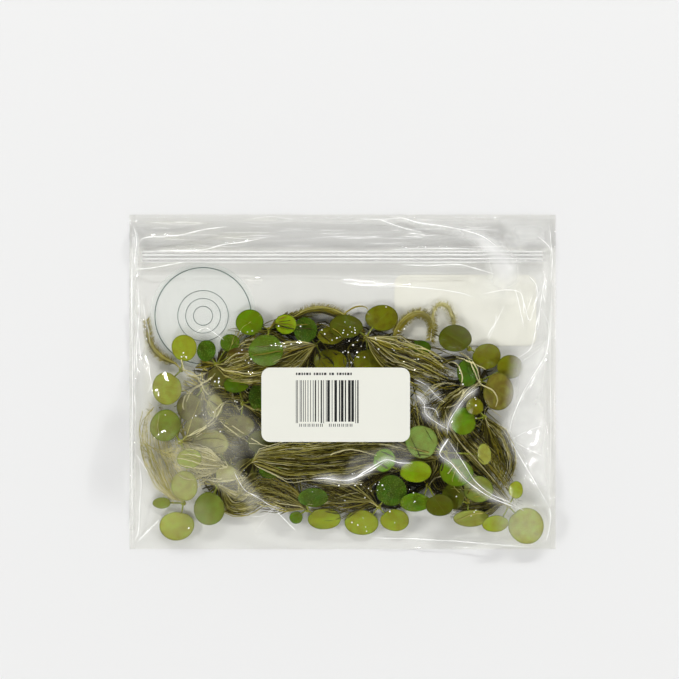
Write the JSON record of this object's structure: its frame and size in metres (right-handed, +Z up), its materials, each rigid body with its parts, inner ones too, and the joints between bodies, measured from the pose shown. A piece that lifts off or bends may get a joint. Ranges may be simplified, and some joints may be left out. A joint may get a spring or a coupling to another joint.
{
  "type": "water spangles in a clear resealable bag",
  "caption": "Small floating water plants with round leaves and long roots, packed flat in a clear zip bag with a white front label.",
  "frame": {"origin": "on the table under the middle of the bag, which lies on its back", "axes": "+X along the zip, +Y from the fold at the bottom of the bag towards its mouth, +Z up from the table"},
  "size_m": [0.1528, 0.1198, 0.0179],
  "materials": {
    "film": "gloss",
    "label": "satin",
    "sticker": "satin",
    "leaf": "satin",
    "root": "matte"
  },
  "bodies": {
    "root": {"bag_film": "film", "zip_track_front": "film", "zip_track_back": "film", "front_label": "label", "back_label": "label", "round_sticker": "sticker", "plant_01_leaves": "leaf", "plant_01_roots": "root", "plant_02_leaves": "leaf", "plant_02_roots": "root", "plant_03_leaves": "leaf", "plant_03_roots": "root", "plant_04_leaves": "leaf", "plant_04_roots": "root", "plant_05_leaves": "leaf", "plant_05_roots": "root", "plant_06_leaves": "leaf", "plant_06_roots": "root", "plant_07_leaves": "leaf", "plant_07_roots": "root", "plant_08_leaves": "leaf", "plant_08_roots": "root", "plant_09_leaves": "leaf", "plant_09_roots": "root", "plant_10_leaves": "leaf", "plant_10_roots": "root", "plant_11_leaves": "leaf", "plant_11_roots": "root", "plant_12_leaves": "leaf", "plant_12_roots": "root", "plant_13_leaves": "leaf", "plant_13_roots": "root", "plant_14_leaves": "leaf", "plant_14_roots": "root", "plant_15_leaves": "leaf", "plant_15_roots": "root", "plant_16_leaves": "leaf", "plant_16_roots": "root", "plant_17_leaves": "leaf", "plant_17_roots": "root", "plant_18_leaves": "leaf", "plant_18_roots": "root", "plant_19_leaves": "leaf", "plant_19_roots": "root", "plant_20_leaves": "leaf", "plant_20_roots": "root", "plant_21_leaves": "leaf", "plant_21_roots": "root", "plant_22_leaves": "leaf", "plant_22_roots": "root", "plant_23_leaves": "leaf", "plant_23_roots": "root", "plant_24_leaves": "leaf", "plant_24_roots": "root"}
  },
  "joints": []
}
